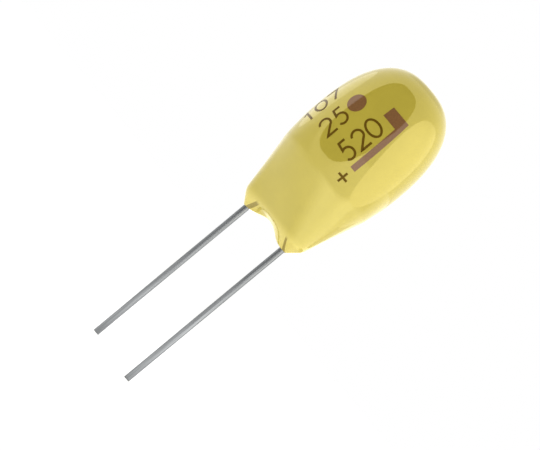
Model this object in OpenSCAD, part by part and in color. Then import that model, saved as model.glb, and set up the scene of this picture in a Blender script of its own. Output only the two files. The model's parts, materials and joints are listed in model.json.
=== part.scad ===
// Radial tantalum bead capacitor: a sintered tantalum slug with its solid electrolyte and
// contact coats, two wire leads and a dipped epoxy coat.
// +Z runs up the body. z = 0 is the seating plane, where the leads leave the epoxy.
// The leads lie in the XZ plane, the positive one at +X, and the marked face looks towards -Y.

/* [Leads] */
// Diameter of the lead wire
wire_d = 0.5; // [0.4:0.01:0.6]
// Distance between the two leads
lead_pitch = 5.08; // [4.6:0.01:5.6]
// Length of the positive lead below the seating plane
positive_length = 14.8; // [6:0.05:32]
// Length of the negative lead below the seating plane
negative_length = 14.4; // [6:0.05:32]
// Bend radius of the leads inside the epoxy, at the middle of the wire
bend_r = 0.6; // [0.4:0.05:0.8]
// Straight length of lead inside the epoxy before its first bend
lead_root = 0.6; // [0.4:0.05:0.8]
// Height over which the negative lead swings out to the slug's side
swing_h = 2.4; // [2:0.05:3]

/* [Anode] */
// Diameter of the sintered slug
anode_d = 6; // [5.4:0.05:7]
// Length of the sintered slug
anode_h = 7.6; // [6.5:0.1:10]
// Height of the slug's lower face above the seating plane
anode_z = 6.1; // [5.8:0.05:6.8]
// Chamfer around both ends of the slug
anode_edge = 0.5; // [0.3:0.05:0.8]
// Diameter of the tantalum riser wire
riser_d = 0.4; // [0.3:0.01:0.5]
// Depth of the riser wire in the slug
riser_depth = 4.5; // [2:0.1:5.5]
// Length of the riser wire that stands out below the slug
riser_drop = 2; // [1.8:0.05:2.4]

/* [Coats on the slug] */
// Thickness of the manganese dioxide
oxide_wall = 0.1; // [0.05:0.01:0.2]
// Thickness of the graphite
graphite_wall = 0.05; // [0.03:0.01:0.1]
// Thickness of the silver
silver_wall = 0.08; // [0.04:0.01:0.15]
// Bare margin of oxide below the graphite and silver
coat_margin = 0.6; // [0.55:0.05:1.2]

/* [Joints] */
// Diameter of the insulating washer
washer_d = 1.8; // [1.2:0.1:2.4]
// Thickness of the insulating washer
washer_h = 0.3; // [0.2:0.05:0.5]
// Gap between the washer and the end of the positive lead
washer_gap = 0.3; // [0.15:0.05:0.5]
// How far the positive lead and the riser wire are pressed together in the weld
weld_press = 0.08; // [0.04:0.01:0.12]
// Gap between the negative lead and the silver coat, filled with solder
solder_gap = 0.04; // [0.02:0.01:0.08]
// Thickness of the solder around the negative lead
solder_wall = 0.17; // [0.1:0.01:0.3]
// Length of the solder along the negative lead
solder_h = 2.6; // [1.5:0.1:3.2]
// Height of the solder's lower end above the slug's lower face
solder_rise = 1.1; // [0.9:0.1:1.5]
// Length of the negative lead that stands out above the solder
solder_stub = 0.2; // [0.1:0.05:0.4]

/* [Epoxy coat] */
// Epoxy outside the negative lead, at the widest ring of the body
side_cover = 0.83; // [0.5:0.01:1.2]
// Epoxy above the coats on the slug
top_cover = 1.97; // [1.4:0.01:3]
// Height of the widest ring above the slug's lower face
belly_rise = 2.9; // [2.4:0.1:3.5]
// How long the crown stays wide above the widest ring: 2 is an ellipse
crown_rise = 2.4; // [2:0.05:3.5]
// How flat the crown is at the top: 2 is an ellipse
crown_flat = 2.6; // [2:0.05:3.2]
// How much smaller in radius the body is where it starts to flatten
waist_inset = 0.255; // [0.15:0.005:0.4]
// Depth of that place below the slug's lower face
waist_drop = 0.4; // [0.2:0.05:0.6]
// Height over which the crease there is rounded, each way
waist_round = 0.3; // [0.2:0.05:0.8]
// Height of the shoulders of the feet
foot_h = 0.92; // [0.8:0.01:1.1]
// Radius of the feet at their shoulders
foot_r = 1.17; // [1:0.01:1.3]
// Height over which the shoulders are rounded
foot_round = 0.3; // [0.1:0.05:0.4]
// Width of the resin ring around each lead at the seating plane
meniscus = 0.08; // [0.05:0.01:0.15]
// Height of the arch between the feet
arch_h = 0.62; // [0.4:0.01:0.75]

/* [Print] */
// Thickness of the ink
ink = 0.02; // [0.01:0.005:0.05]
// Gap between the body and the ink
ink_gap = 0.004; // [0.002:0.001:0.02]
// Angle of the bar's outer edge from the front, towards the positive lead
bar_angle = 50.1; // [45:0.1:55]
// Width of the bar around the body
bar_w = 0.5; // [0.3:0.05:0.7]
// Height of the bar's lower end above the slug's lower face
bar_rise = 1.59; // [1.2:0.01:2]
// Length of the bar
bar_h = 5.22; // [4:0.01:5.6]
// Width of the block at the top of the bar
block_w = 1.9; // [1:0.05:2.4]
// Height of the block
block_h = 0.97; // [0.6:0.01:1.3]
// Size of the plus sign
plus_w = 0.91; // [0.6:0.01:1.1]
// Width of the plus sign's strokes
plus_stroke = 0.15; // [0.1:0.01:0.25]
// Gap between the bar and the plus sign
plus_gap = 0.465; // [0.3:0.005:0.6]

/* [Hidden] */
$fn = 48;

// The coats grow outwards from the slug.
oxide_t = oxide_wall;
graphite_t = oxide_t + graphite_wall;
silver_t = graphite_t + silver_wall;
anode_top = anode_z + anode_h;
coat_z = anode_z + coat_margin;
silver_r = anode_d / 2 + silver_t;

// The leads: where each one ends up inside the epoxy.
lead_x = lead_pitch / 2;
positive_top = anode_z - washer_h - washer_gap;
positive_in = riser_d / 2 + wire_d / 2 - weld_press;
weld_x = riser_d / 2 - weld_press / 2;
positive_jog_h = anode_z - riser_drop - lead_root + wire_d / 2;
negative_out = silver_r + solder_gap + wire_d / 2;
solder_z = anode_z + solder_rise;

// The body's outline, from the feet up.
body_r = negative_out + wire_d / 2 + side_cover;
body_h = anode_top + silver_t + top_cover;
belly_z = anode_z + belly_rise;
waist_z = anode_z - waist_drop;
waist_r = body_r - waist_inset;
foot_tip_r = wire_d / 2 + meniscus;

// Degrees around the widest ring of the body for each millimetre of print.
degree = 180 / PI / body_r;

// Points around each ring of the body, and how many of them turn each half of a foot.
ring_points = 64;
turn_points = 10;

// Rings along each stretch of the body, from the crown down to the feet.
crown_steps = 12;
belly_steps = 4;
loft_steps = 4;
foot_steps = 3;
round_steps = 4;

// Points around a bent wire, rings in each of its bends, how much its radius is swelled there
// and how far the round runs reach into it.
wire_sides = 24;
bend_steps = 5;
bend_swell = 0.01;
bend_lap = 0.05;

// Radius of the body's round part at height z.
function body_radius(z) = z > belly_z
    ? body_r * pow(1 - pow((z - belly_z) / (body_h - belly_z), crown_rise), 1 / crown_flat)
    : body_r - waist_inset * pow((belly_z - z) / (belly_z - waist_z), 2);

// One ring of the round part.
function round_ring(z) = [
    for (i = [0 : ring_points - 1])
        let (a = 360 * i / ring_points)
            [body_radius(z) * cos(a), body_radius(z) * sin(a), z]
];

// Place of ring point i on a foot ring: how far along the line between the leads it is,
// from 1 at the positive lead to -1, and the way that the ring faces there.
function along(i) =
    let (j = i > ring_points / 2 ? ring_points - i : i)
        max(-1, min(1, (ring_points / 4 - j) / (ring_points / 4 - turn_points)));
function facing(i) =
    let (
        j = i > ring_points / 2 ? ring_points - i : i,
        past = max(0, abs(j - ring_points / 4) - (ring_points / 4 - turn_points)),
        turned = 90 - 90 * past / turn_points,
        half = j > ring_points / 4 ? 180 - turned : turned
    ) i > ring_points / 2 ? -half : half;

// A ring around both feet, r out from the leads at height z. Between the feet it rises
// with the arch, most at the tips and not at all at the shoulders.
function foot_ring(r, z) = [
    for (i = [0 : ring_points - 1])
        let (
            e = along(i),
            arch = arch_h * (1 - z / foot_h) * (1 + cos(180 * e)) / 2
        ) [lead_x * e + r * cos(facing(i)), r * sin(facing(i)), z + arch]
];

function between(low, high, t) = [for (i = [0 : len(low) - 1]) low[i] * (1 - t) + high[i] * t];
function rounded(low, corner, high, t) =
    between(between(low, corner, t), between(corner, high, t), t);

shoulder_ring = foot_ring(foot_r, foot_h);
waist_ring = round_ring(waist_z);
foot_top = between(shoulder_ring, foot_ring(foot_tip_r, 0), foot_round / foot_h);
loft_low = between(shoulder_ring, waist_ring, foot_round / (waist_z - foot_h));
loft_high = between(waist_ring, shoulder_ring, waist_round / (waist_z - foot_h));
waist_top = round_ring(waist_z + waist_round);

body_rings = concat(
    [for (n = [0 : foot_steps - 1])
        between(foot_ring(foot_tip_r, 0), foot_top, n / foot_steps)],
    [for (n = [0 : round_steps]) rounded(foot_top, shoulder_ring, loft_low, n / round_steps)],
    [for (n = [1 : loft_steps - 1]) between(loft_low, loft_high, n / loft_steps)],
    [for (n = [0 : round_steps]) rounded(loft_high, waist_ring, waist_top, n / round_steps)],
    [for (n = [1 : belly_steps])
        round_ring(waist_z + waist_round + (belly_z - waist_z - waist_round) * n / belly_steps)],
    [for (n = [1 : crown_steps - 1])
        round_ring(belly_z + (body_h - belly_z) * pow(sin(90 * n / crown_steps), 2 / crown_rise))]
);

// The outside of the epoxy, filled.
module body_solid() {
    last = len(body_rings) - 1;
    apex = (last + 1) * ring_points;
    points = concat([for (ring = body_rings) each ring], [[0, 0, body_h]]);
    function at(n, i) = n * ring_points + (i + ring_points) % ring_points;
    walls = [
        for (n = [0 : last - 1], i = [0 : ring_points - 1])
            each [
                [at(n, i), at(n + 1, i), at(n + 1, i + 1)],
                [at(n, i), at(n + 1, i + 1), at(n, i + 1)]
            ]
    ];
    crown = [for (i = [0 : ring_points - 1]) [at(last, i), apex, at(last, i + 1)]];
    arch = [
        for (i = [turn_points : ring_points / 2 - turn_points - 1])
            each [
                [at(0, i), at(0, i + 1), at(0, -i - 1)],
                [at(0, i), at(0, -i - 1), at(0, -i)]
            ]
    ];
    feet = [
        for (middle = [0, ring_points / 2])
            [for (i = [-turn_points : turn_points]) at(0, middle + i)]
    ];
    polyhedron(points, concat(walls, crown, arch, feet), convexity = 4);
}

// A round slug with chamfered ends, t larger all round than the sintered one.
module slug(t, z = -1) {
    edge = anode_edge + t * (2 - sqrt(2));
    r = anode_d / 2 + t;
    top = anode_top + t;
    low = anode_z - t;
    rotate_extrude()
        polygon(z < 0
            ? [[0, low], [r - edge, low], [r, low + edge], [r, top - edge], [r - edge, top], [0, top]]
            : [[0, z], [r, z], [r, top - edge], [r - edge, top], [0, top]]);
}

// A vertical round wire from z0 to z1.
module wire(x, z0, z1, d = wire_d) {
    translate([x, 0, z0]) cylinder(h = z1 - z0, d = d);
}

// Stations along a wire that runs up from z = 0 and jogs from x = 0 to shift, over a height of h:
// its root, and two bends with a straight run between them. Each is the wire's middle in x and
// z, and its lean.
function jog_path(shift, h) =
    let (
        reach = shift - 2 * bend_r,
        lean = asin(2 * bend_r / norm([h, reach])) + atan2(reach, h),
        leans = [for (n = [0 : bend_steps]) lean * n / bend_steps],
        low = [for (a = leans) [bend_r * (1 - cos(a)), bend_r * sin(a), a]]
    ) concat(
        [[0, 0, 0]],
        [for (s = low) s + [0, lead_root, 0]],
        [for (n = [bend_steps : -1 : 0])
            [shift - low[n][0], lead_root + h - low[n][1], low[n][2]]],
        [[shift, lead_root + h + bend_lap, 0]]
    );

// The bent part of a lead, from the seating plane to its upright run inside the epoxy.
// It is swelled a little, so that the round runs end inside it.
module jog(shift, h) {
    path = jog_path(shift, h);
    last = len(path) - 1;
    r = wire_d / 2 + bend_swell;
    points = [
        for (s = path, i = [0 : wire_sides - 1])
            let (t = 360 * i / wire_sides)
                [s[0] + r * cos(t) * cos(s[2]), r * sin(t), s[1] - r * cos(t) * sin(s[2])]
    ];
    function at(n, i) = n * wire_sides + i % wire_sides;
    walls = [
        for (n = [0 : last - 1], i = [0 : wire_sides - 1])
            each [
                [at(n, i), at(n + 1, i), at(n + 1, i + 1)],
                [at(n, i), at(n + 1, i + 1), at(n, i + 1)]
            ]
    ];
    low_end = [for (i = [0 : wire_sides - 1]) at(0, i)];
    top_end = [for (i = [wire_sides - 1 : -1 : 0]) at(last, i)];
    polyhedron(points, concat(walls, [low_end, top_end]), convexity = 4);
}

// A lead that stands at x0, jogs sideways to x1 over a height of jog_h, and ends at top.
module jogged_lead(x0, x1, length, jog_h, top) {
    wire(x0, -length, bend_lap);
    translate([x0, 0, 0]) rotate([0, 0, x1 < x0 ? 180 : 0]) jog(abs(x1 - x0), jog_h);
    wire(x1, lead_root + jog_h, top);
}

module positive_lead_solid() {
    jogged_lead(lead_x, positive_in, positive_length, positive_jog_h, positive_top);
}

module positive_lead() {
    color("#a9aba8") difference() {
        positive_lead_solid();
        translate([weld_x - wire_d, -wire_d, lead_root]) cube([wire_d, 2 * wire_d, anode_z]);
    }
}

module negative_lead() {
    color("#a3a5a2")
        jogged_lead(-lead_x, -negative_out, negative_length, swing_h,
            solder_z + solder_h + solder_stub);
}

module riser_solid() {
    wire(0, anode_z - riser_drop, anode_z + riser_depth, riser_d);
}

module riser_wire() {
    color("#7d7f84") difference() {
        riser_solid();
        translate([weld_x, -riser_d, 0]) cube([riser_d, 2 * riser_d, positive_top]);
    }
}

module anode_pellet() {
    color("#56585c") difference() {
        slug(0);
        riser_solid();
    }
}

module insulating_washer() {
    color("#efefe9") difference() {
        wire(0, anode_z - washer_h, anode_z, washer_d);
        riser_solid();
    }
}

module manganese_dioxide_coat() {
    color("#2b2624") difference() {
        slug(oxide_t);
        slug(0);
        wire(0, anode_z - washer_h, anode_z, washer_d);
    }
}

module graphite_coat() {
    color("#3a3a3d") difference() {
        slug(graphite_t, coat_z);
        slug(oxide_t);
    }
}

module silver_coat() {
    color("#c3c4c2") difference() {
        slug(silver_t, coat_z);
        slug(graphite_t);
    }
}

module solder_fillet() {
    color("#b4b6b4") difference() {
        wire(-negative_out, solder_z, solder_z + solder_h, wire_d + 2 * solder_wall);
        slug(silver_t);
        wire(-negative_out, solder_z, solder_z + solder_h);
    }
}

module epoxy_coat() {
    color("#e6d672") difference() {
        body_solid();
        slug(oxide_t);
        slug(silver_t, coat_z);
        wire(0, anode_z - washer_h, anode_z, washer_d);
        riser_wire();
        positive_lead();
        negative_lead();
        wire(-negative_out, solder_z, solder_z + solder_h, wire_d + 2 * solder_wall);
    }
}

// A film of ink on the round part of the body. It fills some of the cells between the listed
// angles and heights, each cell given by its column and row. Angles start at the front.
module film(angles, heights, cells) {
    columns = len(angles);
    function at(i, j, side) = (side * len(heights) + j) * columns + i;
    function bare(i, j) = len([for (c = cells) if (c == [i, j]) c]) == 0;
    points = [
        for (side = [0, 1], z = heights, a = angles)
            let (r = body_radius(z) + ink_gap + side * ink) [r * sin(a), -r * cos(a), z]
    ];
    // The corners of cell (i, j) on one side of the film, starting at its lower left.
    function corners(i, j, side) = [
        at(i, j, side), at(i + 1, j, side), at(i + 1, j + 1, side), at(i, j + 1, side)
    ];
    // The film's edge along one side of a cell, from corner m to the next one.
    function rim(i, j, m) =
        let (inner = corners(i, j, 0), outer = corners(i, j, 1), k = (m + 1) % 4)
            [outer[m], outer[k], inner[k], inner[m]];
    faces = [
        for (c = cells)
            let (i = c[0], j = c[1], outer = corners(i, j, 1))
                each concat(
                    [corners(i, j, 0), [for (m = [3 : -1 : 0]) outer[m]]],
                    bare(i, j - 1) ? [rim(i, j, 0)] : [],
                    bare(i + 1, j) ? [rim(i, j, 1)] : [],
                    bare(i, j + 1) ? [rim(i, j, 2)] : [],
                    bare(i - 1, j) ? [rim(i, j, 3)] : []
                )
    ];
    polyhedron(points, faces, convexity = 4);
}

function steps(low, high, count) = [for (n = [0 : count - 1]) low + (high - low) * n / count];

module polarity_bar() {
    bar_z = anode_z + bar_rise;
    bar_top = bar_z + bar_h;
    block_z = bar_top - block_h;
    bar_left = bar_angle - bar_w * degree;
    block_left = bar_angle - block_w * degree;
    // Columns in the block's overhang and in the bar, and rows below the block and in it.
    overhang_cells = 6;
    bar_cells = 2;
    rise_cells = 9;
    block_cells = 3;
    color("#86613f")
        film(
            concat(
                steps(block_left, bar_left, overhang_cells),
                steps(bar_left, bar_angle, bar_cells), [bar_angle]
            ),
            concat(
                steps(bar_z, block_z, rise_cells),
                steps(block_z, bar_top, block_cells), [bar_top]
            ),
            [for (i = [0 : overhang_cells + bar_cells - 1], j = [0 : rise_cells + block_cells - 1])
                if (i >= overhang_cells || j >= rise_cells) [i, j]]
        );
}

module polarity_plus() {
    top = anode_z + bar_rise - plus_gap;
    right = bar_angle + (plus_w - bar_w) / 2 * degree;
    arm = (plus_w - plus_stroke) / 2;
    marks = [0, arm, arm + plus_stroke, plus_w];
    color("#6e5324")
        film(
            [for (m = marks) right - (plus_w - m) * degree],
            [for (m = marks) top - plus_w + m],
            [for (i = [0 : 2], j = [0 : 2]) if (i == 1 || j == 1) [i, j]]
        );
}

epoxy_coat();
positive_lead();
negative_lead();
anode_pellet();
riser_wire();
insulating_washer();
manganese_dioxide_coat();
graphite_coat();
silver_coat();
solder_fillet();
polarity_bar();
polarity_plus();
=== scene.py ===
"""Dresses the solids of a dipped tantalum bead capacitor and sets a plain stage round it.

Lengths are in metres. +Z runs up the body, the leads lie in the XZ plane with the positive one
at +X, and the marked face looks towards -Y.
"""
import json
from math import asin, atan, cos, pi, radians, sin, sqrt
from typing import NamedTuple

import bmesh
import bpy
from bpy.props import FloatProperty, FloatVectorProperty, PointerProperty, StringProperty
from mathutils import Matrix, Vector


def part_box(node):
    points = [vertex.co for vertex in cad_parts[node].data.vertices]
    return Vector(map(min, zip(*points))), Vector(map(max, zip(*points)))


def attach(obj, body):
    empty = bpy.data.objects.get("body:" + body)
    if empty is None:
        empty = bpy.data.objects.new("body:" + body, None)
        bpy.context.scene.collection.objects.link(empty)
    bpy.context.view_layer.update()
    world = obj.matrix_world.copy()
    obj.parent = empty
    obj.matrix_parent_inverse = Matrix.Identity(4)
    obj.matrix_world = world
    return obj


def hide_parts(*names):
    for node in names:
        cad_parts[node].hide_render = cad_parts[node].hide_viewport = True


bl_info = {
    "name": "Tantalum bead capacitor",
    "version": (1, 0, 0),
    "blender": (4, 5, 0),
    "location": "3D Viewport > Sidebar > Capacitor",
    "description": "Dresses a dipped tantalum capacitor and sets a plain stage round it",
    "category": "Object",
}

MM = 0.001
WHITE = (1.0, 1.0, 1.0, 1.0)

# Points closer together than this become one.
MERGE = 1e-7
# Edges that bend by more than this stay sharp.
SHARP = radians(35)
# The size of the cells that print is made of, so that it bends round the body.
CELL = 0.12 * MM
# How far the solid bar stands out from the solid body.
BAR_PROUD = 0.024 * MM

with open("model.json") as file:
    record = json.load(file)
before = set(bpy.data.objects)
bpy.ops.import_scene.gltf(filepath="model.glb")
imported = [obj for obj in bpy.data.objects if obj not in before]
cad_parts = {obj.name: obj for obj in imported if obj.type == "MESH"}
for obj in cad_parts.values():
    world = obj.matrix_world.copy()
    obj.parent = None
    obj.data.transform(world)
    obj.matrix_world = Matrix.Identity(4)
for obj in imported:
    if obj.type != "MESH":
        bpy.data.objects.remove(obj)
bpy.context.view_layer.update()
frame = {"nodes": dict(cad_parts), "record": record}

# Sizes that the frame gives.
PATTERN = next(m["dims"] for m in frame["record"]["mounts"] if m["name"] == "lead_pair")
LEAD_X = PATTERN["spacing_x_mm"] / 2 * MM
WIRE_R = PATTERN["stud_r_mm"] * MM
BODY_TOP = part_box("epoxy_coat")[1]
SLUG_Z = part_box("anode_pellet")[0].z
BAR_LOW, BAR_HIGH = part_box("polarity_bar")
PLUS_LOW, PLUS_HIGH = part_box("polarity_plus")
FLOOR_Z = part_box("positive_lead")[0].z


def length(name, description, millimetres):
    """A setting that holds a length. Its default is given in millimetres."""
    return FloatProperty(name=name, description=description, default=millimetres * MM,
                         min=0, unit="LENGTH", precision=5)


def turning(name, description, degrees):
    """A setting that holds an angle. Its default is given in degrees."""
    return FloatProperty(name=name, description=description, default=radians(degrees),
                         subtype="ANGLE")


def number(name, description, value):
    """A setting that holds a level, a share or another plain number."""
    return FloatProperty(name=name, description=description, default=value)


def linear(hex_colour):
    """An sRGB hex colour as linear red, green, blue and alpha."""
    channels = [int(hex_colour[i : i + 2], 16) / 255 for i in (1, 3, 5)]
    return tuple(c / 12.92 if c <= 0.04045 else ((c + 0.055) / 1.055) ** 2.4
                 for c in channels) + (1.0,)


def colour(name, description, hex_colour):
    """A setting that holds a colour. Its default is given as sRGB hex."""
    return FloatVectorProperty(name=name, description=description, subtype="COLOR",
                               size=4, min=0, max=1, default=linear(hex_colour))


class EpoxySettings(bpy.types.PropertyGroup):
    skin: length("Skin", "How far the dressed body stays inside the solid one", 0.01)
    belly_rise: length("Belly", "Widest ring above the slug's lower face", 2.9)
    waist_drop: length("Waist", "Where the flattening starts, below the slug's lower face", 0.4)
    waist_inset: length("Waist inset", "How much smaller in radius the body is there", 0.255)
    waist_round: length("Crease", "Height over which the crease there is rounded, each way", 0.3)
    foot_h: length("Foot height", "Height of the shoulders of the feet", 0.92)
    foot_r: length("Foot radius", "Radius of the feet at their shoulders", 1.17)
    foot_round: length("Foot rounding", "Height over which the shoulders are rounded", 0.3)
    meniscus: length("Meniscus", "Width of the resin ring around each lead", 0.08)
    arch_h: length("Arch", "Height of the arch between the feet", 0.62)
    crown_rise: FloatProperty(name="Crown", default=2.4, min=2, max=4,
                              description="How long the crown stays wide: 2 is an ellipse")
    crown_flat: FloatProperty(name="Crown top", default=2.6, min=2, max=4,
                              description="How flat the crown is at the top: 2 is an ellipse")
    # The streak settings below lay an olive line that runs up from each lead across its foot, each
    # with its own lean.
    streak_w: length("Streak", "Width of the streak where a lead shows through a foot", 0.4)
    streak_h: length("Streak height", "Height at which that streak fades", 0.92)
    streak_off: length("Streak's start", "How far towards +X of its lead each streak starts", 0.27)
    left_lean: number("Left lean", "How far towards +X the negative lead's streak leans", 1.03)
    right_lean: number("Right lean", "How far towards +X the positive lead's streak leans", -0.1)
    right_share: number("Right streak", "Its width as a share of the negative lead's", 0.55)
    # thin_h and thin make the resin paler towards the bottom, where it thins out. That paleness is
    # painted light, for the light that the thin resin lets through.
    thin_h: length("Thin resin", "Height below which the resin thins out", 1.5)
    resin: colour("Resin", "Colour of the epoxy", "#c3b145")
    thin: colour("Thin", "Colour of the epoxy at the lips of the feet", "#e3cf62")
    streak: colour("Streak's colour", "Colour of a lead through the resin", "#8c7600")


class WireSettings(bpy.types.PropertyGroup):
    burr: length("Cut edge", "Rounding of the cut end of each lead", 0.04)
    tin: colour("Tin", "Colour of the tinned wire", "#7e8081")


class PrintSettings(bpy.types.PropertyGroup):
    ink: length("Ink", "Thickness of the ink", 0.01)
    bar_w: length("Bar", "Width of the bar", 0.5)
    block_h: length("Block", "Height of the block at the top of the bar", 0.97)
    block_w: length("Block width", "Width of the block", 1.9)
    stroke: length("Stroke", "Width of the strokes of the numbers and the plus", 0.18)
    digit_h: length("Digit height", "Height of the numbers, around the body", 1.48)
    digit_w: length("Digit width", "Width of the numbers, along the body", 0.98)
    pitch: length("Pitch", "Distance from one number to the next", 1.25)
    first_turn: turning("First row's place", "Angle from the front towards +X", -31.8)
    second_turn: turning("Second row's place", "Angle from the front towards +X", -0.8)
    third_turn: turning("Third row's place", "Angle from the front towards +X", 30)
    first_z: length("First row's start", "Height at which the first row starts", 7.2)
    other_z: length("Other rows' start", "Height at which the other rows start", 7.8)
    dot_d: length("Dot", "Diameter of the dot", 1.5)
    dot_z: length("Dot's height", "Height of the dot's middle", 11.05)
    first: StringProperty(name="First row", description="Numbers in the first row", default="107")
    second: StringProperty(name="Second row", description="Numbers in the second row", default="25")
    third: StringProperty(name="Third row", description="Numbers in the third row", default="520")
    line: colour("Lines", "Colour of the numbers and the plus", "#674c0a")
    field: colour("Fields", "Colour of the bar and the dot", "#855e3a")


class StageSettings(bpy.types.PropertyGroup):
    floor_size: length("Floor", "Width of the floor", 4000)
    paper: colour("Paper", "Colour of the floor", "#f4f4f2")
    lift: number("Lift", "Glow that brings the floor up to white where it is seen", 0.26)
    room: number("Room", "Level of the light from all round", 0.94)
    overhead: number("Overhead", "Share of that level straight overhead", 0.8)
    side_light: number("Side light", "Level of the soft light on the right", 0.66)
    light_w: length("Light width", "Width of the soft light", 300)
    light_reach: length("Light distance", "Distance from the object to the soft light", 400)
    light_turn: turning("Light's place", "How far round to the camera's right it hangs", 110)
    light_rise: turning("Light's height", "Angle of the soft light above level", 22)
    card_reach: length("Cards", "Distance from the object to the cards that it mirrors", 75)
    tall_card: number("Tall card", "Level of the tall card", 2.4)
    left_card: number("Left card", "Level of the left card", 2.0)
    sheet_w: length("Sheet", "How far the sheet on the floor runs to each side", 1900)
    low_card: number("Low card", "Level of that sheet before its steps are added", 1.3)
    strip: number("Strip", "Level of the strip on that sheet", 1.3)
    wall: number("Walls", "Level of the walls that mirrors see", 1.35)
    rear_shade: number("Rear shade", "How much darker the walls are high behind the object", 0.5)
    rear_rise: turning("Rear shade's height", "Angle of its middle above level", 39)
    rear_core: turning("Rear shade's core", "How far from its middle it is even", 8)
    rear_reach: turning("Rear shade's reach", "How far from its middle it ends", 20)
    lens: length("Lens", "Focal length", 700)
    film_w: length("Film", "Width of the camera's film", 36)
    seen_w: length("Seen", "Width that the camera sees at the object", 39.56)
    aim_z: length("Aim height", "Height of the point that the camera aims at", 0.48)
    aim_right: length("Aim right", "How far that point lies to the right of the axis", 0.075)
    turn: turning("Turn", "How far round the camera stands from the front", 36.9)
    roll: turning("Roll", "How far the camera is rolled over to its left", 50.3)


SETTINGS = {"epoxy": EpoxySettings, "wires": WireSettings, "marks": PrintSettings,
            "stage": StageSettings}


# ---------------------------------------------------------------- nodes and materials

def add(tree, kind, links=(), **settings):
    """Adds a node with its settings. links maps an input's name or number to an output or to a
    value."""
    node = tree.nodes.new(kind)
    for name, value in settings.items():
        setattr(node, name, value)
    for socket, value in dict(links).items():
        if isinstance(value, bpy.types.NodeSocket):
            tree.links.new(value, node.inputs[socket])
        else:
            node.inputs[socket].default_value = value
    return node


def cleared_tree(owner):
    """The node tree of a material or a world, with nothing left in it."""
    owner.use_nodes = True
    owner.node_tree.nodes.clear()
    return owner.node_tree


def new_material(name, **shader):
    """A material with one Principled shader, whose sockets are named with underscores here."""
    material = bpy.data.materials.new(name)
    tree = cleared_tree(material)
    surface = add(tree, "ShaderNodeBsdfPrincipled",
                  {k.replace("_", " "): v for k, v in shader.items()})
    add(tree, "ShaderNodeOutputMaterial", {"Surface": surface.outputs[0]})
    return material, tree, surface


def shaded(tone, factor):
    """The same tone, made lighter or darker by a factor."""
    return tuple(c * factor for c in tone[:3]) + (1.0,)


def mottle(tree, low, high, grain, stretch=1.0):
    """A colour that wanders between two tones in grains of this size, longer along Z if stretched,
    and the pattern of those grains."""
    place = add(tree, "ShaderNodeTexCoord").outputs["Object"]
    mapped = add(tree, "ShaderNodeMapping", {"Vector": place, "Scale": (1, 1, 1 / stretch)})
    noise = add(tree, "ShaderNodeTexNoise", {"Vector": mapped.outputs[0], "Scale": 1 / grain})
    share = add(tree, "ShaderNodeMapRange",
                {"Value": noise.outputs["Fac"], "From Min": 0.35, "From Max": 0.65},
                interpolation_type="SMOOTHSTEP")
    mixed = add(tree, "ShaderNodeMix", {0: share.outputs[0], 6: low, 7: high}, data_type="RGBA")
    return mixed.outputs[2], noise.outputs["Fac"]


def lead_streaks(tree, tone, axes, settings):
    """Lays an olive streak over the tone, running up from each lead across its foot at its own
    lean.
    axes is a point's place, split into X, Y and Z."""
    low = add(tree, "ShaderNodeMapRange",
              {"Value": axes.outputs["Z"], "From Min": settings.streak_h,
               "From Max": settings.streak_h * 0.8}).outputs[0]
    for lead_x, lean, share in ((-LEAD_X, settings.left_lean, 1),
                                (LEAD_X, settings.right_lean, settings.right_share)):
        width = settings.streak_w * share
        line = add(tree, "ShaderNodeMath",
                   {0: axes.outputs["Z"], 1: lean, 2: lead_x + settings.streak_off},
                   operation="MULTIPLY_ADD").outputs[0]
        off = add(tree, "ShaderNodeMath", {0: axes.outputs["X"], 1: line},
                  operation="SUBTRACT").outputs[0]
        away = add(tree, "ShaderNodeMath", {0: off}, operation="ABSOLUTE").outputs[0]
        near = add(tree, "ShaderNodeMapRange",
                   {"Value": away, "From Min": width * 0.6, "From Max": width * 0.4},
                   interpolation_type="SMOOTHSTEP").outputs[0]
        shown = add(tree, "ShaderNodeMath", {0: near, 1: low}, operation="MULTIPLY").outputs[0]
        tone = add(tree, "ShaderNodeMix", {0: shown, 6: tone, 7: settings.streak},
                   data_type="RGBA").outputs[2]
    return tone


def dipped_epoxy(settings):
    """Filled epoxy, dipped and cured: a hard, wet-looking gloss with the slight waves of resin that
    levelled as it ran down. Towards the bottom, where the resin thins out, it is paler: painted
    light, for the light that the thin resin lets through. An olive streak runs up from each lead
    across its foot. Its IOR is above the 1.55 of plain epoxy and its gloss is tinted yellow,
    because the gloss of the real one is stronger and warmer than that gives."""
    grain = 1.6 * MM
    wave = 2.2 * MM
    wave_depth = 0.02 * MM
    material, tree, surface = new_material(
        "dipped_epoxy", Roughness=0.03, IOR=1.95, Specular_Tint=(1.0, 0.9, 0.42, 1.0))
    tone = mottle(tree, shaded(settings.resin, 0.985), shaded(settings.resin, 1.015), grain)[0]
    place = add(tree, "ShaderNodeTexCoord").outputs["Object"]
    axes = add(tree, "ShaderNodeSeparateXYZ", {0: place})
    # Paler towards the bottom, where the resin is thin: painted light, for the light that it lets
    # through.
    thin = add(tree, "ShaderNodeMapRange",
               {"Value": axes.outputs["Z"], "From Min": settings.thin_h,
                "From Max": settings.thin_h / 3}, interpolation_type="SMOOTHSTEP").outputs[0]
    tone = add(tree, "ShaderNodeMix", {0: thin, 6: tone, 7: settings.thin},
               data_type="RGBA").outputs[2]
    tone = lead_streaks(tree, tone, axes, settings)
    tree.links.new(tone, surface.inputs["Base Color"])
    waves = add(tree, "ShaderNodeTexNoise",
                {"Vector": place, "Scale": 1 / wave, "Detail": 0.0}).outputs["Fac"]
    bump = add(tree, "ShaderNodeBump",
               {"Height": waves, "Strength": 0.1, "Distance": wave_depth}).outputs[0]
    tree.links.new(bump, surface.inputs["Normal"])
    return material


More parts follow.
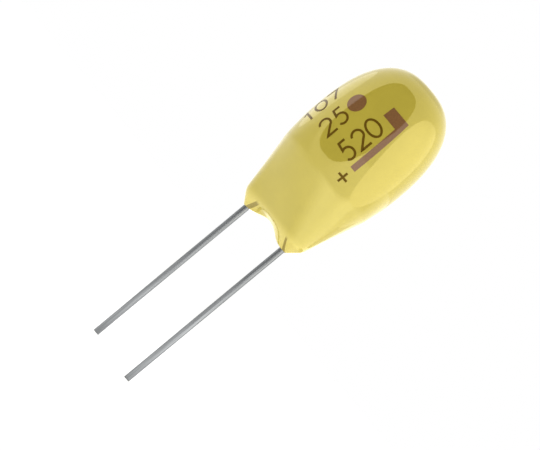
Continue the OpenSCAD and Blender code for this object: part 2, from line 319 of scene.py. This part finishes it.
def printed_ink(name, tone, **shader):
    """Ink fired into the resin: dark, slightly uneven in tone, and less glossy than the resin."""
    speckle = 0.12 * MM
    material, tree, surface = new_material(name, **shader)
    tree.links.new(mottle(tree, shaded(tone, 0.94), shaded(tone, 1.06), speckle)[0],
                   surface.inputs["Base Color"])
    return material


def tinned_wire(settings):
    """Copper-clad wire, drawn and dipped in tin: a dull grey metal, darker at its edges, with
    streaks along it. They are drawn coarser than the real ones, so that they show."""
    streak_w = 0.06 * MM
    streak_depth = 0.004 * MM
    material, tree, surface = new_material(
        "hot_dipped_tin", Metallic=1.0, Roughness=0.36, Specular_Tint=(0.5, 0.5, 0.52, 1.0))
    tone, streaks = mottle(tree, shaded(settings.tin, 0.8), shaded(settings.tin, 1.15), streak_w,
                           stretch=60)
    tree.links.new(tone, surface.inputs["Base Color"])
    bump = add(tree, "ShaderNodeBump",
               {"Height": streaks, "Strength": 0.25, "Distance": streak_depth}).outputs[0]
    tree.links.new(bump, surface.inputs["Normal"])
    return material


def mottled(name, low, high, grain, **shader):
    """A material whose colour wanders between two tones in grains of this size."""
    material, tree, surface = new_material(name, **shader)
    tree.links.new(mottle(tree, linear(low), linear(high), grain)[0], surface.inputs["Base Color"])
    return material


# ---------------------------------------------------------------- shapes

def move_to(vertices, places):
    """Moves each vertex to its place."""
    for vertex, place in zip(vertices, places):
        vertex.co = place


def draw_out(shape, chain, places, closed=True):
    """Extrudes the edges along a chain of vertices and moves the new chain to these places."""
    ends = chain[1:] + chain[:1] if closed else chain[1:]
    edges = [shape.edges.get(pair) for pair in zip(chain, ends)]
    made = bmesh.ops.extrude_edge_only(shape, edges=edges)["geom"]
    twins = {v.co.to_tuple(): v for v in made if isinstance(v, bmesh.types.BMVert)}
    fresh = [twins[v.co.to_tuple()] for v in chain]
    move_to(fresh, places)
    return fresh


def finished_piece(name, shape, material, nodes=()):
    """Makes a piece of the shape, with its faces outwards, that rides on the one body. It stands
    for the nodes that are named."""
    bmesh.ops.remove_doubles(shape, verts=shape.verts, dist=MERGE)
    bmesh.ops.recalc_face_normals(shape, faces=shape.faces)
    mesh = bpy.data.meshes.new(name)
    shape.to_mesh(mesh)
    shape.free()
    mesh.shade_smooth()
    mesh.set_sharp_from_angle(angle=SHARP)
    piece = bpy.data.objects.new(name, mesh)
    bpy.context.scene.collection.objects.link(piece)
    mesh.materials.append(material)
    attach(piece, "root")
    if nodes:
        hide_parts(*nodes)


class Body:
    """The outside of the epoxy, round above and drawn in to two feet below."""

    points = 128  # in each ring
    turn = 20  # of them, for each quarter turn round a foot

    def __init__(self, s):
        self.s = s
        self.r = BODY_TOP.x - s.skin
        self.top = BODY_TOP.z - s.skin
        self.belly_z = SLUG_Z + s.belly_rise
        self.waist_z = SLUG_Z - s.waist_drop

    def radius(self, z):
        """Radius of the round part at height z."""
        if z > self.belly_z:
            rise = (z - self.belly_z) / (self.top - self.belly_z)
            return self.r * max(0.0, 1 - rise ** self.s.crown_rise) ** (1 / self.s.crown_flat)
        drop = (self.belly_z - z) / (self.belly_z - self.waist_z)
        return self.r - self.s.waist_inset * drop ** 2

    def slope(self, z):
        """Angle by which the round part faces upwards at height z."""
        step = 0.01 * MM
        return atan((self.radius(z - step) - self.radius(z + step)) / (2 * step))

    def surface(self, angle, z, proud):
        """A point this proud of the round part. Angles start at the front and grow towards +X."""
        r = self.radius(z) + proud
        return Vector((r * sin(angle), -r * cos(angle), z))

    def round_ring(self, z):
        """A ring round the round part at height z."""
        steps = [2 * pi * i / self.points for i in range(self.points)]
        return [Vector((self.radius(z) * cos(a), self.radius(z) * sin(a), z)) for a in steps]

    def foot_ring(self, r, z, arch):
        """A ring round both feet, r out from the leads. Between them it rises by arch."""
        ring = []
        quarter = self.points / 4
        for i in range(self.points):
            j = min(i, self.points - i)
            along = max(-1.0, min(1.0, (quarter - j) / (quarter - self.turn)))
            past = max(0.0, abs(j - quarter) - (quarter - self.turn))
            turned = pi / 2 * (1 - past / self.turn)
            facing = pi - turned if j > quarter else turned
            facing = -facing if i > self.points / 2 else facing
            lift = arch * (1 + cos(pi * along)) / 2
            ring.append(Vector((LEAD_X * along + r * cos(facing), r * sin(facing), z + lift)))
        return ring


def between(low, high, t):
    """A ring that lies a share t of the way from one ring to another."""
    return [a.lerp(b, t) for a, b in zip(low, high)]


def rounded(low, corner, high, t):
    """A ring on the curve that rounds off the corner between two rings."""
    return between(between(low, corner, t), between(corner, high, t), t)


def body_rings(body):
    """The rings from the tips of the feet up to just below the apex, and those that close the
    underside from the tips inwards."""
    s = body.s
    foot_steps = 5  # from the tips to the shoulders' curve
    steps = 8  # in each curve and each stretch between them
    crown_steps = 28
    tip_r = WIRE_R + s.meniscus
    shoulder = body.foot_ring(s.foot_r - s.skin, s.foot_h, 0)
    tip = body.foot_ring(tip_r, 0, s.arch_h)
    waist = body.round_ring(body.waist_z)
    loft_h = body.waist_z - s.foot_h
    foot_top = between(shoulder, tip, s.foot_round / s.foot_h)
    loft_low = between(shoulder, waist, s.foot_round / loft_h)
    loft_high = between(waist, shoulder, s.waist_round / loft_h)
    first = body.waist_z + s.waist_round
    waist_top = body.round_ring(first)
    rings = [between(tip, foot_top, n / foot_steps) for n in range(foot_steps)]
    rings += [rounded(foot_top, shoulder, loft_low, n / steps) for n in range(steps + 1)]
    rings += [between(loft_low, loft_high, n / steps) for n in range(1, steps)]
    rings += [rounded(loft_high, waist, waist_top, n / steps) for n in range(steps + 1)]
    rings += [body.round_ring(first + (body.belly_z - first) * n / steps)
              for n in range(1, steps + 1)]
    rise = body.top - body.belly_z
    for n in range(1, crown_steps):
        share = sin(pi / 2 * n / crown_steps) ** (2 / s.crown_rise)
        rings.append(body.round_ring(body.belly_z + rise * share))
    under = [body.foot_ring(tip_r * share, 0, s.arch_h) for share in (0.8, 0.4, 0)]
    return rings, under


class CAPACITOR_OT_dip_body(bpy.types.Operator):
    """Lofts the epoxy body, from the rings round its feet up to the crown"""

    bl_idname = "capacitor.dip_body"
    bl_label = "Dip the body"

    def execute(self, context):
        body = Body(context.scene.epoxy)
        rings, under = body_rings(body)
        apex = [Vector((0, 0, body.top))] * body.points
        shape = bmesh.new()
        tip = bmesh.ops.create_circle(shape, segments=body.points, radius=MM)["verts"]
        move_to(tip, rings[0])
        for stretch in (rings[1:] + [apex], under):
            loop = tip
            for ring in stretch:
                loop = draw_out(shape, loop, ring)
        finished_piece("dipped_epoxy", shape, dipped_epoxy(context.scene.epoxy),
                       ["epoxy_coat"])
        return {"FINISHED"}


class CAPACITOR_OT_fit_leads(bpy.types.Operator):
    """Draws the two wire leads, from their cut ends up into the feet"""

    bl_idname = "capacitor.fit_leads"
    bl_label = "Fit the leads"

    def execute(self, context):
        settings = context.scene.wires
        material = tinned_wire(settings)
        for side, x in (("positive", LEAD_X), ("negative", -LEAD_X)):
            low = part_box(side + "_lead")[0].z
            # Its upper end is out of sight, halfway up the foot.
            high = context.scene.epoxy.foot_h / 2
            shape = bmesh.new()
            place = Matrix.Translation((x, 0, (low + high) / 2))
            bmesh.ops.create_cone(shape, cap_ends=True, segments=48, radius1=WIRE_R,
                                  radius2=WIRE_R, depth=high - low, matrix=place)
            rim = [e for e in shape.edges
                   if all(v.co.z < low + settings.burr for v in e.verts)]
            bmesh.ops.bevel(shape, geom=rim, offset=settings.burr, segments=3, profile=0.5,
                            affect="EDGES", material=-1)
            finished_piece(side + "_wire", shape, material, [side + "_lead"])
        return {"FINISHED"}


# ---------------------------------------------------------------- print

def arc(x, y, rx, ry, start, end, steps):
    """Points on part of an ellipse, from one angle to another in degrees."""
    turns = [radians(start + (end - start) * n / steps) for n in range(steps + 1)]
    return [(x + rx * cos(a), y + ry * sin(a)) for a in turns]


def digit_path(digit, w, h):
    """The pen's path for a number, w wide and h high, and whether it closes on itself."""
    if digit == "0":
        return arc(w / 2, h / 2, w / 2, h / 2, 90, 450, 40)[:-1], True
    if digit == "1":
        return [(w * 0.25, h * 0.8), (w * 0.6, h), (w * 0.6, 0)], False
    if digit == "2":
        r = w * 0.46
        bowl = arc(w / 2, h - r, r, r, 165, -32, 22)
        return bowl + [(w * 0.04, 0), (w * 0.98, 0)], False
    if digit == "5":
        bowl = arc(w * 0.44, h * 0.32, w * 0.46, h * 0.32, 122, -140, 26)
        return [(w * 0.86, h), (w * 0.3, h)] + bowl, False
    if digit == "7":
        return [(0, h), (w * 0.95, h), (w * 0.35, 0)], False
    raise ValueError("there is no path for the number " + digit)


def finer(path, closed, step):
    """The same path with points about a step apart."""
    corners = path + path[:1] if closed else path
    fine = []
    for a, b in zip(corners, corners[1:]):
        a, b = Vector(a), Vector(b)
        parts = max(1, round((b - a).length / step))
        fine += [a.lerp(b, n / parts) for n in range(parts)]
    return fine if closed else fine + [Vector(corners[-1])]


def draw_stroke(shape, path, closed, width):
    """Draws a flat ribbon along a path by extruding a short edge that crosses it."""
    def crossing(i):
        """The ends of the edge at point i, square to the path, or mitred where the path bends."""
        ways = []
        if i or closed:
            ways.append((path[i] - path[i - 1]).normalized())
        if i + 1 < len(path) or closed:
            ways.append((path[(i + 1) % len(path)] - path[i]).normalized())
        way = sum(ways, Vector((0, 0))).normalized()
        mitre = 1 / max(0.5, way.dot(ways[0]))
        side = Vector((-way.y, way.x)) * width / 2 * mitre
        return [(path[i] + side).to_3d(), (path[i] - side).to_3d()]

    start = [shape.verts.new(p) for p in crossing(0)]
    shape.edges.new(start)
    pen = start
    for i in range(1, len(path)):
        pen = draw_out(shape, pen, crossing(i), closed=False)
    if closed:
        bmesh.ops.bridge_loops(shape, edges=[shape.edges.get(pen), shape.edges.get(start)])


def grid(shape, along, across, rows, columns):
    """A flat rectangle of cells, from one x to another and from one y to another."""
    made = bmesh.ops.create_grid(shape, x_segments=rows, y_segments=columns, size=0.5)["verts"]
    low = Vector((along[0], across[0], 0))
    size = Vector((along[1] - along[0], across[1] - across[0], 1))
    for vertex in made:
        vertex.co = low + Vector(((vertex.co.x + 0.5) * size.x, (vertex.co.y + 0.5) * size.y, 0))


def wrap_print(shape, body, ink, row_angle, row_z):
    """Wraps a flat drawing round the body and gives it the ink's thickness. The drawing's x runs
    up the body and its y runs backwards round it, from the row's angle."""
    bmesh.ops.remove_doubles(shape, verts=shape.verts, dist=MERGE)
    for vertex in shape.verts:
        angle = row_angle - vertex.co.y / body.r
        vertex.co = body.surface(angle, row_z + vertex.co.x, proud=ink)
    faces = list(shape.faces)
    bmesh.ops.recalc_face_normals(shape, faces=faces)
    if sum(f.normal.xy.dot(f.calc_center_median().xy) for f in faces) < 0:
        bmesh.ops.reverse_faces(shape, faces=faces)
    bmesh.ops.solidify(shape, geom=faces, thickness=2 * ink)


class CAPACITOR_OT_print_marks(bpy.types.Operator):
    """Prints the bar, the plus sign, the numbers and the dot on the front"""

    bl_idname = "capacitor.print_marks"
    bl_label = "Print the marks"

    def execute(self, context):
        s = context.scene.marks
        body = Body(context.scene.epoxy)
        # The thin marks are duller than the broad ones, whose gloss is faintly pink.
        line = printed_ink("fired_ink_lines", s.line, Roughness=0.3, IOR=1.3,
                           Specular_Tint=(1.0, 0.86, 0.4, 1.0))
        field = printed_ink("fired_ink_fields", s.field, Roughness=0.06, IOR=1.65,
                            Specular_Tint=(1.0, 0.86, 0.78, 1.0))
        bar_edge = asin(BAR_HIGH.x / (BODY_TOP.x + BAR_PROUD))
        self.print_bar(body, s, field, bar_edge)
        self.print_plus(body, s, line, bar_edge)
        for name, numbers, angle, low in (("first", s.first, s.first_turn, s.first_z),
                                          ("second", s.second, s.second_turn, s.other_z),
                                          ("third", s.third, s.third_turn, s.other_z)):
            for place, digit in enumerate(numbers):
                path, closed = digit_path(digit, s.digit_w, s.digit_h)
                shape = bmesh.new()
                draw_stroke(shape, finer(path, closed, CELL), closed, s.stroke)
                bmesh.ops.translate(shape, verts=shape.verts,
                                    vec=(place * s.pitch, -s.digit_h / 2, 0))
                wrap_print(shape, body, s.ink, angle, low)
                finished_piece(f"{name}_row_{place + 1}", shape, line)
        self.print_dot(body, s, field)
        return {"FINISHED"}

    def print_bar(self, body, s, material, edge):
        """The bar, and the block at its top, which starts at the same edge and is wider."""
        top = BAR_HIGH.z - BAR_LOW.z
        bend = top - s.block_h
        shape = bmesh.new()
        for along, across in (((0, bend), (0, s.bar_w)),
                              ((bend, top), (0, s.bar_w)),
                              ((bend, top), (s.bar_w, s.block_w))):
            rows = round((along[1] - along[0]) / CELL)
            columns = round((across[1] - across[0]) / CELL)
            grid(shape, along, across, rows, columns)
        wrap_print(shape, body, s.ink, edge, BAR_LOW.z)
        finished_piece("printed_bar", shape, material, ["polarity_bar"])

    def print_plus(self, body, s, material, edge):
        """The plus sign, whose middle lies under the middle of the bar."""
        size = PLUS_HIGH.z - PLUS_LOW.z
        marks = (-size / 2, -s.stroke / 2, s.stroke / 2, size / 2)
        cells = (3, 1, 3)
        shape = bmesh.new()
        for i, j in ((0, 1), (1, 0), (1, 1), (1, 2), (2, 1)):
            grid(shape, marks[i : i + 2], marks[j : j + 2], cells[i], cells[j])
        centre = edge - s.bar_w / 2 / body.r
        wrap_print(shape, body, s.ink, centre, (PLUS_LOW.z + PLUS_HIGH.z) / 2)
        finished_piece("printed_plus", shape, material, ["polarity_plus"])

    def print_dot(self, body, s, material):
        """The dot, at the end of the second row."""
        shape = bmesh.new()
        rings = 5
        loop = bmesh.ops.create_circle(shape, segments=48, radius=s.dot_d / 2)["verts"]
        for n in range(rings - 1, -1, -1):
            loop = draw_out(shape, loop, [v.co * (n / (n + 1)) for v in loop])
        wrap_print(shape, body, s.ink, s.second_turn, s.dot_z)
        finished_piece("printed_dot", shape, material)


class CAPACITOR_OT_finish_inside(bpy.types.Operator):
    """Gives the solids their materials: those that the epoxy hides and those that are dressed"""

    bl_idname = "capacitor.finish_inside"
    bl_label = "Finish the inside"

    def execute(self, context):
        # Real grains finer than 0.06 mm are drawn at 0.06 mm or more, so that they show.
        finishes = {
            # Pressed and sintered tantalum powder: a dark grey, open-grained metal.
            "anode_pellet": mottled("sintered_tantalum_powder", "#45474b", "#686a6f", 0.08 * MM,
                                    Metallic=0.6, Roughness=0.8),
            # Drawn tantalum wire: a blue-grey metal.
            "riser_wire": mottled("drawn_tantalum", "#74767c", "#85878c", 0.1 * MM,
                                  Metallic=1.0, Roughness=0.35),
            # Punched PTFE sheet: a waxy white.
            "insulating_washer": mottled("punched_ptfe", "#ecece6", "#f3f3ee", 0.2 * MM,
                                         Roughness=0.5, IOR=1.38),
            # Manganese dioxide, fired from nitrate: a matt brown-black crust.
            "manganese_dioxide_coat": mottled("fired_manganese_dioxide", "#1f1a18", "#35302d",
                                              0.06 * MM, Roughness=0.9),
            # Dipped colloidal graphite: a soft, dark sheen.
            "graphite_coat": mottled("dipped_graphite", "#303034", "#434347", 0.1 * MM,
                                     Roughness=0.55),
            # Brushed-on silver paint: a pale, dull metal.
            "silver_coat": mottled("brushed_silver_paint", "#b5b6b4", "#cfd0ce", 0.15 * MM,
                                   Metallic=0.9, Roughness=0.45),
            # Solder that ran and froze: a smooth grey metal.
            "solder_fillet": mottled("frozen_solder", "#a9aba9", "#bfc1be", 0.3 * MM,
                                     Metallic=1.0, Roughness=0.3),
        }
        dressed = {"epoxy_coat": "dipped_epoxy", "positive_lead": "positive_wire",
                   "negative_lead": "negative_wire", "polarity_bar": "printed_bar",
                   "polarity_plus": "printed_plus"}
        finishes.update({node: bpy.data.objects[piece].active_material
                         for node, piece in dressed.items()})
        for node, material in finishes.items():
            for slot in frame["nodes"][node].material_slots:
                slot.material = material
        return {"FINISHED"}


# ---------------------------------------------------------------- stage

def camera_axes(turn):
    """The way back to the camera and the way to its right, before it is rolled."""
    back = Vector((sin(turn), -cos(turn), 0))
    right = Vector((cos(turn), sin(turn), 0))
    return back, right


def camera_place(settings):
    """The point that the camera aims at and the camera's own place."""
    back, right = camera_axes(settings.turn)
    aim = right * settings.aim_right + Vector((0, 0, settings.aim_z))
    distance = settings.seen_w * settings.lens / settings.film_w
    return aim, aim + back * distance


def mirrored_place(body, eye, seen, reach):
    """The place, this far off, that the round part mirrors to the eye in front of a seen point,
    which lies on the plane through the body's axis that faces the eye."""
    point = seen
    for _ in range(4):  # each time nearer to where the eye's line meets the body
        depth = sqrt(max(0.0, body.radius(point.z) ** 2 - seen.xy.length_squared))
        point = seen.lerp(eye, depth / (eye - seen).length)
    tilt = body.slope(point.z)
    normal = Vector((*point.xy.normalized() * cos(tilt), sin(tilt)))
    view = (eye - point).normalized()
    return point + (2 * normal.dot(view) * normal - view) * reach


def add_card(name, shape, tint, level):
    """Makes a glowing card of the shape, which only mirrors see."""
    mesh = bpy.data.meshes.new(name)
    shape.to_mesh(mesh)
    shape.free()
    card = bpy.data.objects.new(name, mesh)
    bpy.context.scene.collection.objects.link(card)
    material = bpy.data.materials.new(name)
    tree = cleared_tree(material)
    glow = add(tree, "ShaderNodeEmission", {"Color": tint, "Strength": level})
    add(tree, "ShaderNodeOutputMaterial", {"Surface": glow.outputs[0]})
    mesh.materials.append(material)
    for kind in ("camera", "diffuse", "transmission", "volume_scatter", "shadow"):
        setattr(card, "visible_" + kind, False)
    return tree, glow


def soft_step(tree, way, start, end, low, high):
    """A level that goes from low to high between two distances along a direction. The distances
    are in millimetres."""
    place = add(tree, "ShaderNodeTexCoord").outputs["Object"]
    along = add(tree, "ShaderNodeVectorMath", {0: place, 1: way}, operation="DOT_PRODUCT")
    return add(tree, "ShaderNodeMapRange",
               {"Value": along.outputs["Value"], "From Min": start * MM, "From Max": end * MM,
                "To Min": low, "To Max": high}, interpolation_type="SMOOTHSTEP").outputs[0]


def summed(tree, level, steps):
    """A card's level with soft steps added to it. Each is a direction, the distances along it where
    the step starts and ends, and the change in level."""
    for way, start, end, change in steps:
        step = soft_step(tree, way, start, end, 0.0, change)
        level = add(tree, "ShaderNodeMath", {0: step, 1: level}, operation="ADD").outputs[0]
    return level


def round_shade(tree, level, middle, core, reach, depth):
    """A card's level with a round patch of the floor made darker by this depth, evenly up to core
    from its middle and not at all beyond reach. Lengths are in millimetres."""
    place = add(tree, "ShaderNodeTexCoord").outputs["Object"]
    off = add(tree, "ShaderNodeVectorMath",
              {0: place, 1: middle * MM + Vector((0, 0, FLOOR_Z))}, operation="DISTANCE")
    shade = add(tree, "ShaderNodeMapRange",
                {"Value": off.outputs["Value"], "From Min": reach * MM, "From Max": core * MM,
                 "To Max": depth}, interpolation_type="SMOOTHSTEP").outputs[0]
    return add(tree, "ShaderNodeMath", {0: level, 1: shade}, operation="SUBTRACT").outputs[0]


def floor_card(settings):
    """A sheet on the floor, brightest a little to the right of the object, with two patches of
    painted
    shade close to it: a painted shadow round the object's foot, and a patch that the right foot's
    outer edge mirrors. Towards the camera and far behind, its level fades into that of the walls."""
    back, right = camera_axes(settings.turn)
    shape = bmesh.new()
    bmesh.ops.create_grid(shape, x_segments=1, y_segments=1, size=settings.sheet_w,
                          matrix=Matrix.Translation((0, 0, FLOOR_Z + 0.1 * MM)))
    tree, glow = add_card("low_card", shape, WHITE, settings.low_card)
    level = summed(tree, settings.low_card,
                   ((back, -140, -20, -0.35), (right, -120, -24, 0.5), (right, -24, 17, 1.75),
                    (right, 60, 170, -1.45), (right, 102, 110, -0.5)))
    # Painted shadow on the sheet round the object's foot.
    level = round_shade(tree, level, right * 6 - back * 6, core=8, reach=18, depth=1.2)
    # Painted shade on the part of the sheet that the right foot's outer edge mirrors.
    level = round_shade(tree, level, right * 38 - back * 22, core=12, reach=36, depth=2.4)
    far = summed(tree, settings.wall, ((right, -60, 30, 0.5),))
    for start, end in ((30, 56), (-120, -420)):
        share = soft_step(tree, back, start, end, 0.0, 1.0)
        level = add(tree, "ShaderNodeMix", {0: share, 2: level, 3: far}).outputs[0]
    tree.links.new(level, glow.inputs["Strength"])


def dark_strip(settings):
    """A slanting strip just above that sheet and darker than it, which the body mirrors as a thin
    line low on its right."""
    back, right = camera_axes(settings.turn)
    shape = bmesh.new()
    bmesh.ops.create_grid(shape, x_segments=1, y_segments=1, size=1)
    for vertex in shape.verts:
        x, y = vertex.co.x, vertex.co.y
        vertex.co = (right * (117 + 13 * x - 6 * y) + back * (-95 + 55 * y)) * MM
        vertex.co.z = FLOOR_Z + 0.2 * MM
    add_card("dark_strip", shape, WHITE, settings.strip)


class Oval(NamedTuple):
    """How the camera sees a card mirrored in the body. Lengths are in millimetres."""

    right: float  # from the body's axis to the oval's middle
    up: float  # from the seating plane to its middle
    width: float
    height: float
    lean: float = 0  # how far its upper end slides to the right, and its lower end to the left
    bow: float = 0  # how far both ends slide to the left
    taper: float = 0  # by what share its upper end is wider, and its lower end narrower
    power: float = 2  # how square it is: 2 is an ellipse


def mirror_card(name, body, settings, oval, tint, level, steps=()):
    """A card that the body mirrors as an upright oval. Its level changes in these steps."""
    right = camera_axes(settings.turn)[1]
    eye = camera_place(settings)[1]
    shape = bmesh.new()
    bmesh.ops.create_grid(shape, x_segments=32, y_segments=32, size=1.0)
    for vertex in shape.verts:
        u, v = vertex.co.x, vertex.co.y
        norm = (abs(u) ** oval.power + abs(v) ** oval.power) ** (1 / oval.power)
        if norm > 0:
            pull = max(abs(u), abs(v)) / norm
            u, v = u * pull, v * pull
        across = oval.right + oval.lean * v - oval.bow * v * v
        across += u * oval.width / 2 * (1 + oval.taper * v)
        up = oval.up + v * oval.height / 2
        seen = (right * across + Vector((0, 0, up))) * MM
        vertex.co = mirrored_place(body, eye, seen, settings.card_reach)
    tree, glow = add_card(name, shape, tint, level)
    if steps:
        tree.links.new(summed(tree, level, steps), glow.inputs["Strength"])


def shown_rays(tree):
    """1 for rays that show the background: from the camera, mirrored or passed through."""
    path = add(tree, "ShaderNodeLightPath")
    either = add(tree, "ShaderNodeMath",
                 {0: path.outputs["Is Camera Ray"], 1: path.outputs["Is Glossy Ray"]},
                 operation="MAXIMUM").outputs[0]
    return add(tree, "ShaderNodeMath", {0: either, 1: path.outputs["Is Transmission Ray"]},
               operation="MAXIMUM").outputs[0]


class CAPACITOR_OT_set_stage(bpy.types.Operator):
    """Sets the floor, the room, the soft light, the cards and the camera"""

    bl_idname = "capacitor.set_stage"
    bl_label = "Set the stage"

    def execute(self, context):
        s = context.scene.stage
        self.lay_floor(s)
        self.fill_room(s)
        self.hang_light(s)
        self.hang_cards(s, Body(context.scene.epoxy))
        self.place_camera(context, s)
        context.scene.view_settings.view_transform = "Standard"
        return {"FINISHED"}

    def lay_floor(self, s):
        """Matt paper that is lifted to white where it is seen, and keeps the object's shadow."""
        shape = bmesh.new()
        bmesh.ops.create_grid(shape, x_segments=1, y_segments=1, size=s.floor_size / 2,
                              matrix=Matrix.Translation((0, 0, FLOOR_Z)))
        mesh = bpy.data.meshes.new("pale_floor")
        shape.to_mesh(mesh)
        shape.free()
        floor = bpy.data.objects.new("pale_floor", mesh)
        bpy.context.scene.collection.objects.link(floor)
        material = bpy.data.materials.new("pale_paper")
        tree = cleared_tree(material)
        matt = add(tree, "ShaderNodeBsdfDiffuse", {"Color": s.paper})
        lift = add(tree, "ShaderNodeMath", {0: shown_rays(tree), 1: s.lift},
                   operation="MULTIPLY").outputs[0]
        glow = add(tree, "ShaderNodeEmission", {"Strength": lift})
        both = add(tree, "ShaderNodeAddShader", {0: matt.outputs[0], 1: glow.outputs[0]})
        add(tree, "ShaderNodeOutputMaterial", {"Surface": both.outputs[0]})
        mesh.materials.append(material)

    def fill_room(self, s):
        """White all round where it is seen, a plain level for what it lights, and walls for
        mirrors, which are darker high behind the object. All of it falls off towards overhead."""
        world = bpy.data.worlds.new("plain_room")
        bpy.context.scene.world = world
        tree = cleared_tree(world)
        way = add(tree, "ShaderNodeTexCoord").outputs["Generated"]
        path = add(tree, "ShaderNodeLightPath")
        level = add(tree, "ShaderNodeMapRange",
                    {"Value": shown_rays(tree), "To Min": s.room, "To Max": 1.0}).outputs[0]
        behind = Vector((0, 0, sin(s.rear_rise))) - camera_axes(s.turn)[0] * cos(s.rear_rise)
        near = add(tree, "ShaderNodeVectorMath", {0: way, 1: behind}, operation="DOT_PRODUCT")
        wall = add(tree, "ShaderNodeMapRange",
                   {"Value": near.outputs["Value"],
                    "From Min": cos(s.rear_reach), "From Max": cos(s.rear_core),
                    "To Min": s.wall - 1, "To Max": s.wall - 1 - s.rear_shade},
                   interpolation_type="SMOOTHSTEP").outputs[0]
        mirrored = add(tree, "ShaderNodeMath", {0: path.outputs["Is Glossy Ray"], 1: wall},
                       operation="MULTIPLY").outputs[0]
        total = add(tree, "ShaderNodeMath", {0: level, 1: mirrored}, operation="ADD").outputs[0]
        height = add(tree, "ShaderNodeSeparateXYZ", {0: way}).outputs["Z"]
        fall = add(tree, "ShaderNodeMapRange",
                   {"Value": height, "From Min": 0.3, "From Max": 1.0, "To Min": 1.0,
                    "To Max": s.overhead}).outputs[0]
        total = add(tree, "ShaderNodeMath", {0: total, 1: fall}, operation="MULTIPLY").outputs[0]
        glow = add(tree, "ShaderNodeBackground", {"Color": WHITE, "Strength": total})
        add(tree, "ShaderNodeOutputWorld", {"Surface": glow.outputs[0]})

    def hang_light(self, s):
        """At level 1 the light lights what faces it as much as a white room all round would."""
        data = bpy.data.lights.new("side_light", "AREA")
        data.size = s.light_w
        data.energy = s.side_light * (pi * s.light_reach) ** 2
        light = bpy.data.objects.new("side_light", data)
        back = camera_axes(s.turn + s.light_turn)[0]
        way = back * cos(s.light_rise) + Vector((0, 0, sin(s.light_rise)))
        light.location = way * s.light_reach
        light.rotation_euler = (-way).to_track_quat("-Z", "Y").to_euler()
        light.visible_glossy = False
        bpy.context.scene.collection.objects.link(light)

    def hang_cards(self, s, body):
        """The cards that the gloss of the body mirrors."""
        back = camera_axes(s.turn)[0]
        dark = Oval(right=-1.13, up=10.79, width=3.52, height=7.78, lean=0.24, power=2.7)
        tall = Oval(right=2.57, up=10.2, width=2.42, height=8.3, lean=-0.36, bow=0.2, taper=0.15,
                    power=2.4)
        left = Oval(right=-4.1, up=10.2, width=0.6, height=7, lean=0.3, bow=-0.3)
        mirror_card("dark_card", body, s, dark, WHITE, 0.0)
        mirror_card("tall_card", body, s, tall, (1, 0.97, 0.9, 1), s.tall_card,
                    ((back, -10, 40, 0.55), (Vector((0, 0, 1)), 45, 80, -0.5)))
        mirror_card("left_card", body, s, left, WHITE, s.left_card)
        floor_card(s)
        dark_strip(s)

    def place_camera(self, context, s):
        data = bpy.data.cameras.new("camera")
        data.lens = s.lens / MM
        data.sensor_width = s.film_w / MM
        data.clip_start = 0.01
        data.clip_end = 10
        camera = bpy.data.objects.new("camera", data)
        context.scene.collection.objects.link(camera)
        back, right = camera_axes(s.turn)
        aim, eye = camera_place(s)
        upright = Matrix((right, Vector((0, 0, 1)), back)).transposed()
        axes = upright @ Matrix.Rotation(s.roll, 3, "Z")
        camera.matrix_world = Matrix.Translation(eye) @ axes.to_4x4()
        context.scene.camera = camera


class CAPACITOR_PT_panel(bpy.types.Panel):
    """Lists the steps that build the capacitor"""

    bl_idname = "CAPACITOR_PT_panel"
    bl_label = "Tantalum capacitor"
    bl_space_type = "VIEW_3D"
    bl_region_type = "UI"
    bl_category = "Capacitor"

    def draw(self, context):
        for operator in OPERATORS:
            self.layout.operator(operator.bl_idname)
        for name in SETTINGS:
            group = getattr(context.scene, name)
            box = self.layout.box()
            for setting in group.bl_rna.properties.keys()[2:]:  # the first two are Blender's own
                box.prop(group, setting)


OPERATORS = (CAPACITOR_OT_dip_body, CAPACITOR_OT_fit_leads, CAPACITOR_OT_print_marks,
             CAPACITOR_OT_finish_inside, CAPACITOR_OT_set_stage)
CLASSES = (*SETTINGS.values(), *OPERATORS, CAPACITOR_PT_panel)


def register():
    for made in CLASSES:
        bpy.utils.register_class(made)
    for name, group in SETTINGS.items():
        setattr(bpy.types.Scene, name, PointerProperty(type=group))


def unregister():
    for name in SETTINGS:
        delattr(bpy.types.Scene, name)
    for made in reversed(CLASSES):
        bpy.utils.unregister_class(made)


def main():
    register()
    bpy.ops.capacitor.dip_body()
    bpy.ops.capacitor.fit_leads()
    bpy.ops.capacitor.print_marks()
    bpy.ops.capacitor.finish_inside()
    bpy.ops.capacitor.set_stage()


if __name__ == "__main__":
    main()
